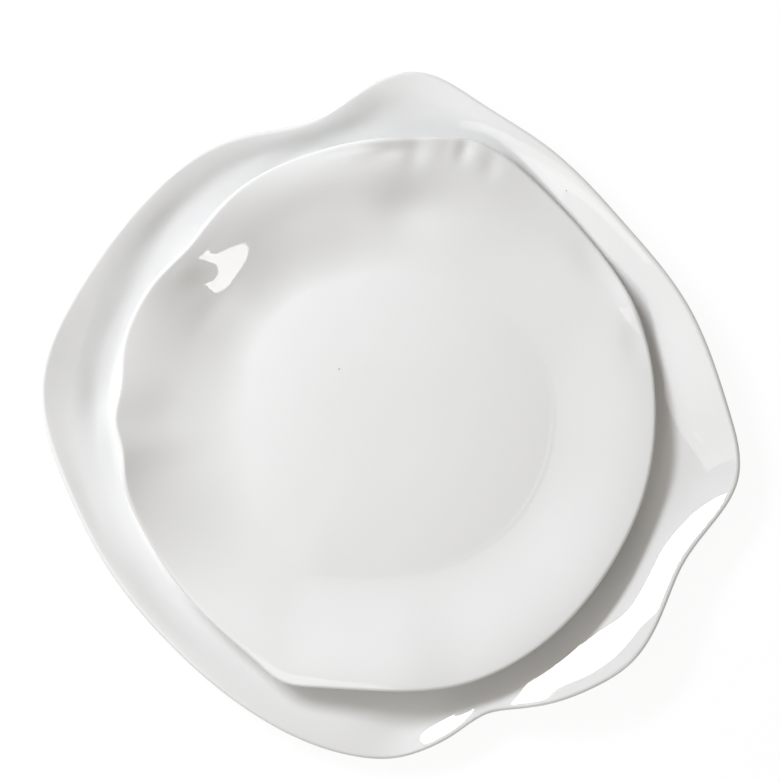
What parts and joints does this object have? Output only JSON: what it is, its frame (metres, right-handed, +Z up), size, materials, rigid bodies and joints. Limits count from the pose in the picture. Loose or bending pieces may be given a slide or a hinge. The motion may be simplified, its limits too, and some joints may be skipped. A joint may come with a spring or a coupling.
{
  "type": "stacked dinner plate and salad plate",
  "caption": "White glazed porcelain dinner plate with a hand-pulled wavy lip, and a smaller salad plate of the same ware that stands loose on its floor and lifts off.",
  "frame": {"origin": "on the table, on the axis of the dinner plate's foot ring, which is also the middle of the outline's box", "axes": "+Z up from the table through both floors; +X to the right and +Y away from the viewer, as the stack lies in the picture"},
  "size_m": [0.2819, 0.2777, 0.0307],
  "materials": {
    "dinner_porcelain": "clear gloss glaze over white porcelain, bare clay under the foot ring",
    "salad_porcelain": "clear gloss glaze over white porcelain, bare clay under the foot ring"
  },
  "bodies": {
    "dinner_plate": {"dinner_plate": "dinner_porcelain"},
    "salad_plate": {"salad_plate": "salad_porcelain"}
  },
  "joints": [
    {"name": "salad_plate_lift", "type": "slide", "parent": "dinner_plate", "child": "salad_plate", "axis": [0, 0, 1], "range_m": [0, 0.08]}
  ]
}
